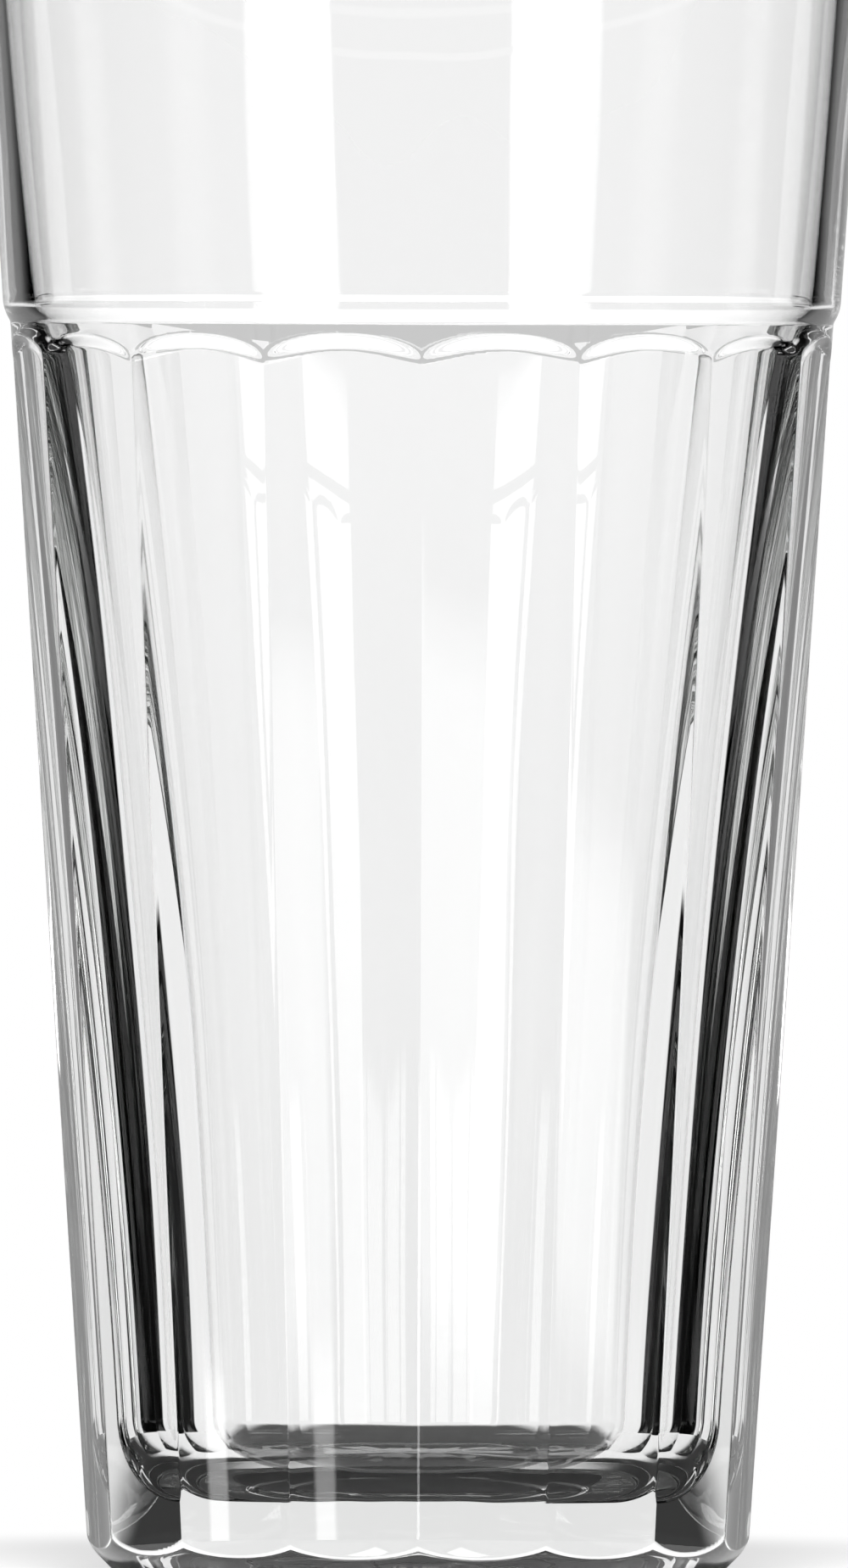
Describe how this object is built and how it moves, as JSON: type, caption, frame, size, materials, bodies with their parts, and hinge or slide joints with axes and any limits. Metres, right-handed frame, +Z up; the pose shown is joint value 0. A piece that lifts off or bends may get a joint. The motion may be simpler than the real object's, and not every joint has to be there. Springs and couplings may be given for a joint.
{
  "type": "pint glass",
  "caption": "Tapered clear drinking glass with a plain band at the lip, flat arched panels pressed round the wall, a thick base and a bevelled heel on a foot ring.",
  "frame": {"origin": "on the axis of the glass, in the plane of the foot ring, where the glass meets the surface that it stands on", "axes": "+Z up along the axis of the glass, from the foot to the rim; -Y towards the picture's camera, with a ridge between two panels facing it"},
  "size_m": [0.0852, 0.0852, 0.16],
  "materials": {
    "clear_glass": "clear colourless pressed soda-lime glass, fire-polished, smooth inside and out"
  },
  "bodies": {
    "root": {"glass_body": "clear_glass"}
  },
  "joints": []
}
